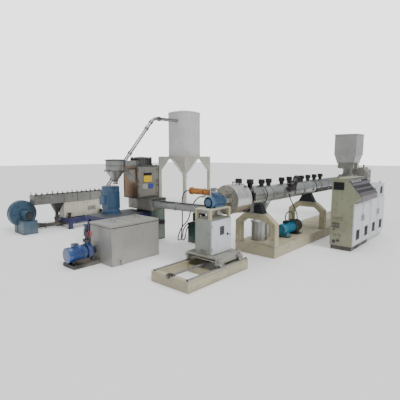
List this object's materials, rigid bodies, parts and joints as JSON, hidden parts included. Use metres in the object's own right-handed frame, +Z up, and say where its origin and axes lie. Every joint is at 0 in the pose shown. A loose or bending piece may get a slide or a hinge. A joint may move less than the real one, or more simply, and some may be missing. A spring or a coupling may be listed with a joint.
{
  "type": "plastic extruder pelletising line",
  "caption": "Single-screw plastic extruder line: feed hopper, covered barrel on portals, water-ring pelletiser on a trolley, tank, dewatering unit, screen, blower and silo.",
  "frame": {"origin": "on the floor, under the barrel axis, at the middle of the front portal", "axes": "+X along the barrel from the die to the drive, +Y from the extruder towards the silo, +Z up"},
  "size_m": [8.257, 7.365, 3.315],
  "materials": {
    "frame_paint": "semi-gloss beige, worn and dusty",
    "cabinet_paint": "grey-green, satin",
    "door_paint": "pale grey, satin",
    "console_paint": "olive grey, satin",
    "cover_steel": "polished stainless, smudged",
    "sheet_steel": "brushed stainless, water marks",
    "dark_steel": "dark, heat stained",
    "bright_steel": "ground and oiled",
    "silo_paint": "dull, pale",
    "silo_frame": "grey beige",
    "machine_grey": "grey, oil marks",
    "motor_blue": "mid blue, satin",
    "pump_blue": "strong blue, gloss",
    "vacuum_teal": "teal, satin",
    "blower_blue": "grey blue, scuffed",
    "ram_orange": "orange, gloss",
    "unit_green": "dark green, oily",
    "navy_paint": "navy blue, chipped",
    "box_paint": "cream, satin",
    "hose_rubber": "black, matt",
    "black_paint": "black, dusty"
  },
  "bodies": {
    "line": {"extruder_base": "frame_paint", "portals": "frame_paint", "barrel_saddles": "dark_steel", "barrel": "dark_steel", "barrel_covers": "cover_steel", "heater_terminal_boxes": "black_paint", "vent_port": "black_paint", "vacuum_pump": "vacuum_teal", "separator_tanks": "sheet_steel", "screen_changer": "dark_steel", "changer_cylinder": "ram_orange", "changer_bracket": "bright_steel", "hydraulic_unit": "unit_green", "feed_throat": "machine_grey", "hopper": "sheet_steel", "gearbox": "machine_grey", "gearbox_stand": "frame_paint", "main_motor": "motor_blue", "belt_guard": "box_paint", "control_cabinets": "console_paint", "trolley_side_rails": "frame_paint", "trolley_cross_channels": "frame_paint", "trolley_screw": "bright_steel", "discharge_trough": "sheet_steel", "water_tank": "sheet_steel", "tank_lid": "sheet_steel", "pump_skid": "black_paint", "water_pump": "pump_blue", "dewatering_platform": "navy_paint", "dewatering_base": "cabinet_paint", "dewatering_housing": "sheet_steel", "upright_motor": "motor_blue", "cyclone_bowl": "sheet_steel", "screen_tray": "sheet_steel", "screen_box": "box_paint", "screen_stand": "navy_paint", "feed_funnel": "black_paint", "blower": "blower_blue", "blower_pipe": "black_paint", "riser_pipe": "sheet_steel", "silo_shell": "silo_paint", "silo_lid": "silo_paint", "silo_legs": "silo_frame", "silo_ring": "silo_frame", "pressure_hose": "hose_rubber", "return_hose": "hose_rubber", "vacuum_hose": "hose_rubber"},
    "trolley": {"trolley_carriage": "machine_grey", "trolley_cabinet": "cabinet_paint", "trolley_stand": "frame_paint", "pelletizer_drum": "sheet_steel", "cutter_motor": "motor_blue"},
    "front_wheels": {"front_wheelset": "bright_steel"},
    "rear_wheels": {"rear_wheelset": "bright_steel"},
    "trolley_cabinet_door": {"trolley_door": "door_paint"},
    "console_left_door": {"console_door_left": "door_paint"},
    "console_right_door": {"console_door_right": "door_paint"},
    "rear_left_door": {"rear_door_left": "door_paint"},
    "rear_right_door": {"rear_door_right": "door_paint"}
  },
  "joints": [
    {"name": "trolley_slide", "type": "slide", "parent": "line", "child": "trolley", "axis": [-1, 0, 0], "range_m": [0, 0.6]},
    {"name": "front_wheel_spin", "type": "hinge", "parent": "trolley", "child": "front_wheels", "pos_m": [-1.46, 0, 0.2353], "axis": [0, -1, 0], "range_deg": [0, 630]},
    {"name": "rear_wheel_spin", "type": "hinge", "parent": "trolley", "child": "rear_wheels", "pos_m": [-0.985, 0, 0.2353], "axis": [0, -1, 0], "range_deg": [0, 630]},
    {"name": "trolley_door_hinge", "type": "hinge", "parent": "trolley", "child": "trolley_cabinet_door", "pos_m": [-1.47, -0.16, 0.6], "axis": [0, 0, -1], "range_deg": [0, 110]},
    {"name": "console_left_hinge", "type": "hinge", "parent": "line", "child": "console_left_door", "pos_m": [1.282, -1.287, 0.5], "axis": [0, 0, -1], "range_deg": [0, 90]},
    {"name": "console_right_hinge", "type": "hinge", "parent": "line", "child": "console_right_door", "pos_m": [2.292, -1.287, 0.5], "axis": [0, 0, 1], "range_deg": [0, 85]},
    {"name": "rear_left_hinge", "type": "hinge", "parent": "line", "child": "rear_left_door", "pos_m": [2.299, -1.287, 0.5], "axis": [0, 0, -1], "range_deg": [0, 85]},
    {"name": "rear_right_hinge", "type": "hinge", "parent": "line", "child": "rear_right_door", "pos_m": [3.305, -1.287, 0.5], "axis": [0, 0, 1], "range_deg": [0, 90]}
  ],
  "couplings": [
    {"joint": "front_wheel_spin", "follows": "trolley_slide", "rad_per_m": 18.182},
    {"joint": "rear_wheel_spin", "follows": "trolley_slide", "rad_per_m": 18.182}
  ]
}
